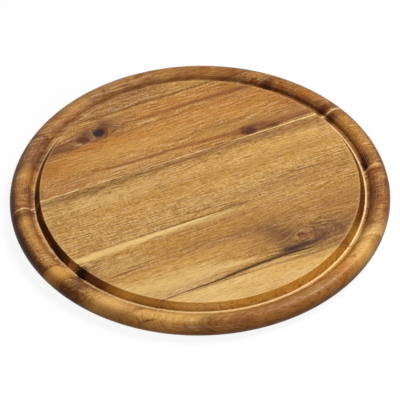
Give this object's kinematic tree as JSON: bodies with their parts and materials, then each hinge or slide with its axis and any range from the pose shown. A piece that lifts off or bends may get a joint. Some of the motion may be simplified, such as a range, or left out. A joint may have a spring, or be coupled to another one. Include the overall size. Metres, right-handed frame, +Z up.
{
  "type": "meat cutting board",
  "caption": "Round wooden meat cutting board, edge-glued from staves, with a flat cutting face, a juice groove round it and a full-round bead as its rim.",
  "frame": {"origin": "centre of the flat underside", "axes": "+Z up out of the cutting face, +X along the grain and the seams, +Y towards the back edge stave"},
  "size_m": [0.25, 0.25, 0.015],
  "materials": {
    "back_edge_wood": "oiled, satin",
    "back_wood": "oiled, satin",
    "middle_wood": "oiled, satin",
    "front_wood": "oiled, satin",
    "front_edge_wood": "oiled, satin",
    "glue": "cured, scraped flush"
  },
  "bodies": {
    "root": {"back_edge_stave": "back_edge_wood", "back_stave": "back_wood", "middle_stave": "middle_wood", "front_stave": "front_wood", "front_edge_stave": "front_edge_wood", "back_edge_glue_line": "glue", "back_glue_line": "glue", "front_glue_line": "glue", "front_edge_glue_line": "glue"}
  },
  "joints": []
}
